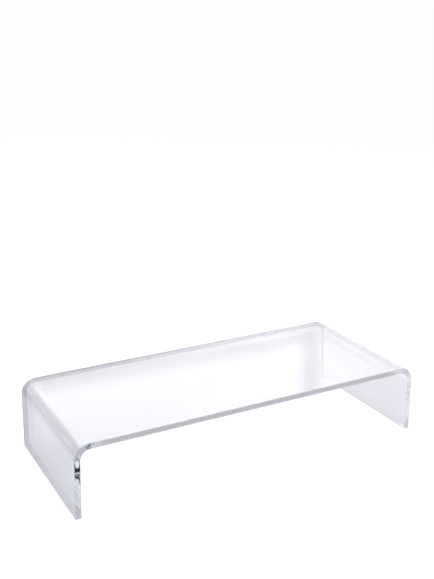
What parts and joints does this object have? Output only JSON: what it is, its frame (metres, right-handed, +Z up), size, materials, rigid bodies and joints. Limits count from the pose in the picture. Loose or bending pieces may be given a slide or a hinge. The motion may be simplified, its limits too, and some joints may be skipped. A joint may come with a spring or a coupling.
{
  "type": "shelf riser",
  "caption": "Low clear acrylic riser: a flat shelf whose ends curve down on rounded bends into plain side legs, open at the front and back.",
  "frame": {"origin": "on the floor under the middle of the shelf", "axes": "+X along the shelf's long side, -Y to the front, +Z up"},
  "size_m": [0.5162, 0.216, 0.1],
  "materials": {
    "clear_acrylic": "clear and colourless with polished faces and edges"
  },
  "bodies": {
    "root": {"riser_sheet": "clear_acrylic"}
  },
  "joints": []
}
